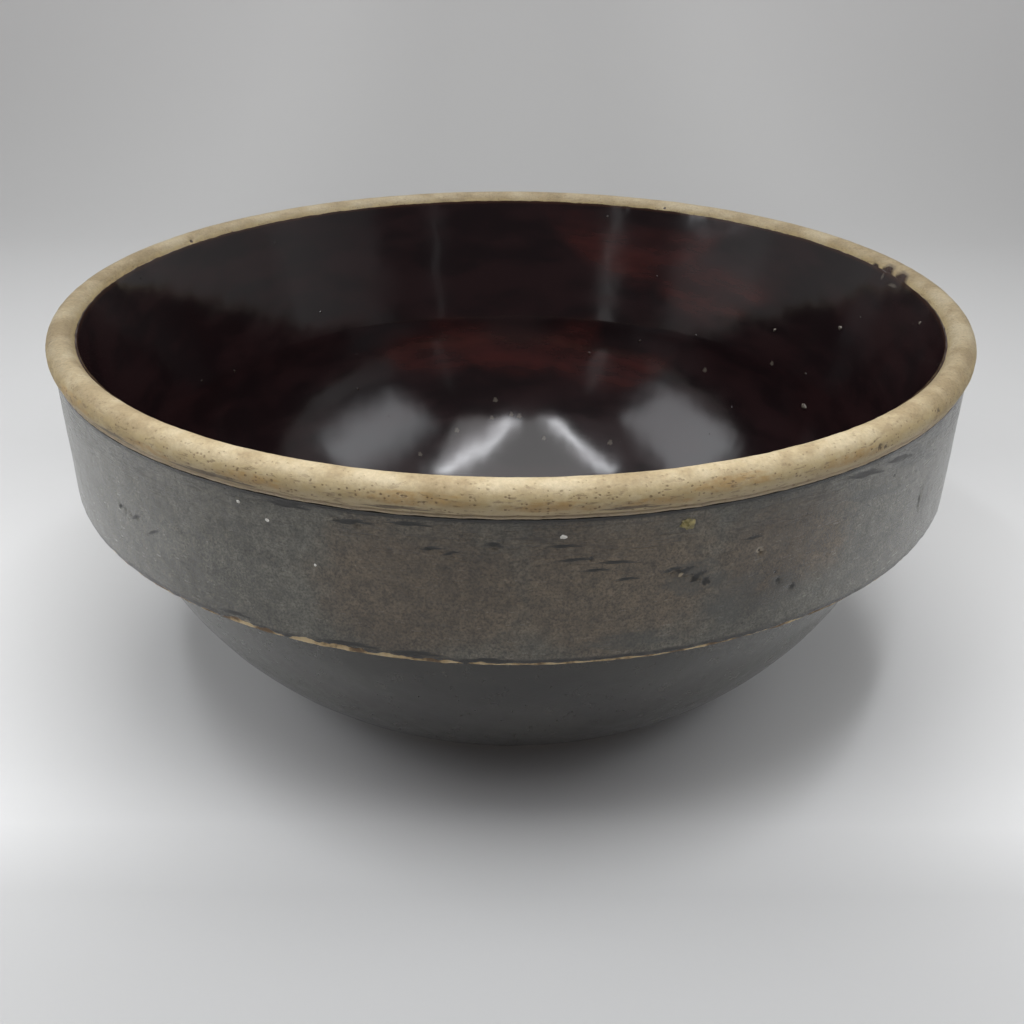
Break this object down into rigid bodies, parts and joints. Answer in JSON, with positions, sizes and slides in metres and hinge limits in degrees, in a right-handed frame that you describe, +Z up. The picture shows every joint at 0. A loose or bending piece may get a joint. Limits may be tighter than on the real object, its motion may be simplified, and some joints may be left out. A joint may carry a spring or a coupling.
{
  "type": "stoneware shoulder bowl",
  "caption": "Round stoneware bowl with a rolled bare-clay rim, a deep glazed collar, a rounded lower wall on a low foot ring and a dark gloss lining.",
  "frame": {"origin": "centre of the foot ring's standing plane", "axes": "+Z up along the bowl's axis of revolution; +X and +Y are in the standing plane"},
  "size_m": [0.3048, 0.3048, 0.134],
  "materials": {
    "bare_clay": "unglazed buff stoneware, matte, stained and hair-cracked",
    "gloss_glaze": "high-gloss maroon-black glaze",
    "satin_glaze": "satin grey-brown speckled slip glaze",
    "smooth_glaze": "smooth satin grey-green slip glaze",
    "grit": "rough pale kiln grit"
  },
  "bodies": {
    "root": {"clay_body": "bare_clay", "inner_glaze": "gloss_glaze", "collar_glaze": "satin_glaze", "wall_glaze": "smooth_glaze", "kiln_grit": "grit"}
  },
  "joints": []
}
